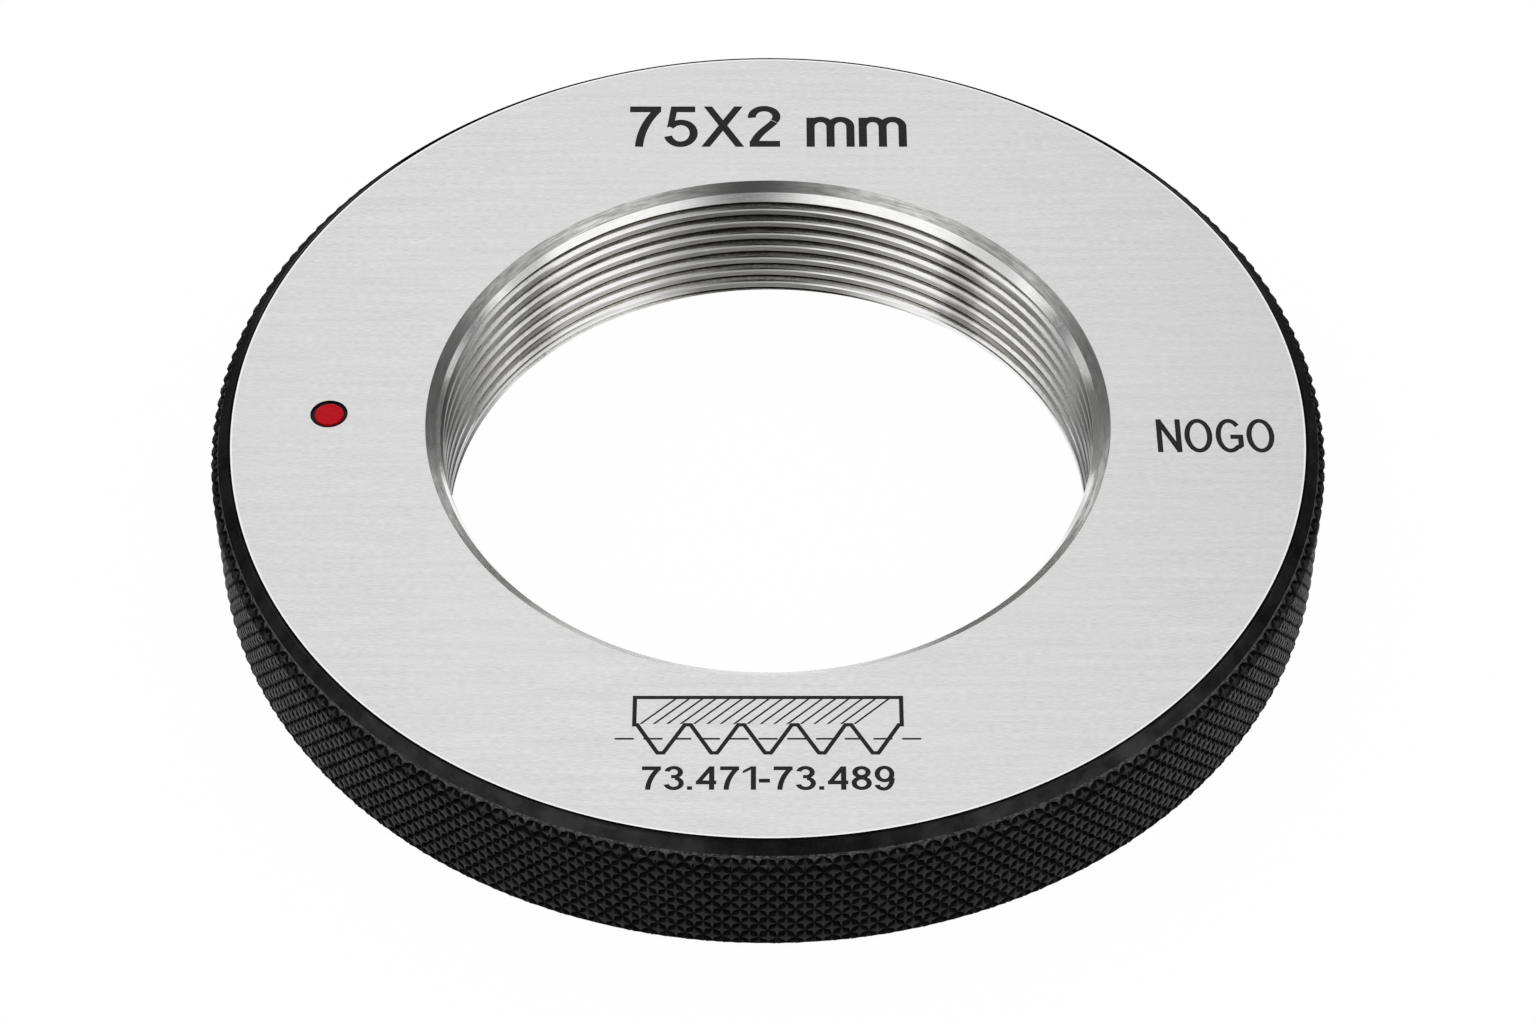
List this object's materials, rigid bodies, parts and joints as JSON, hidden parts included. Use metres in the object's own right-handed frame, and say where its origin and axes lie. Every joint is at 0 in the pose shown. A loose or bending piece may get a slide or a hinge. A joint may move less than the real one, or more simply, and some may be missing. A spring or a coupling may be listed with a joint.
{
  "type": "thread ring gauge",
  "caption": "Flat hardened steel ring with a fine internal screw thread, used as the no-go gauge for an external metric thread.",
  "frame": {"origin": "centre of the lower ground face, on the axis of the thread", "axes": "+Z along the thread's axis, out of the marked upper face; +X towards the stamped word and away from the red dot; -Y towards the picture's viewer"},
  "size_m": [0.125, 0.125, 0.017],
  "materials": {
    "gauge_steel": "hardened and ground faces, polished thread, blackened knurl",
    "red_enamel": "hard enamel"
  },
  "bodies": {
    "root": {"gauge_ring": "gauge_steel", "red_dot": "red_enamel"}
  },
  "joints": []
}
